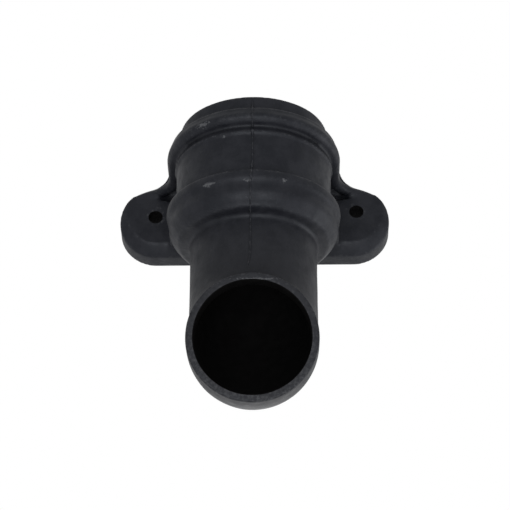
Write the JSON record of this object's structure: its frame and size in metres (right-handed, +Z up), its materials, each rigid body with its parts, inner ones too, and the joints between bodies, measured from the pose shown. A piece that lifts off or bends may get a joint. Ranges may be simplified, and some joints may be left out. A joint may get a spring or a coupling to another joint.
{
  "type": "downpipe shoe",
  "caption": "Eared cast-iron downpipe shoe: a beaded socket collar with a flat back, short pipe and bend to a plain outlet that throws rainwater clear of the wall.",
  "frame": {"origin": "on the flat back that stands against the wall, midway between the ears and at the height of their centres", "axes": "+Z up as installed; +Y into the wall; the outlet throws water towards -Y; +X along the wall"},
  "size_m": [0.181, 0.119, 0.2186],
  "materials": {
    "black_primed_iron": "matt black primer over a sand-cast skin"
  },
  "bodies": {
    "root": {"downpipe_shoe": "black_primed_iron"}
  },
  "joints": []
}
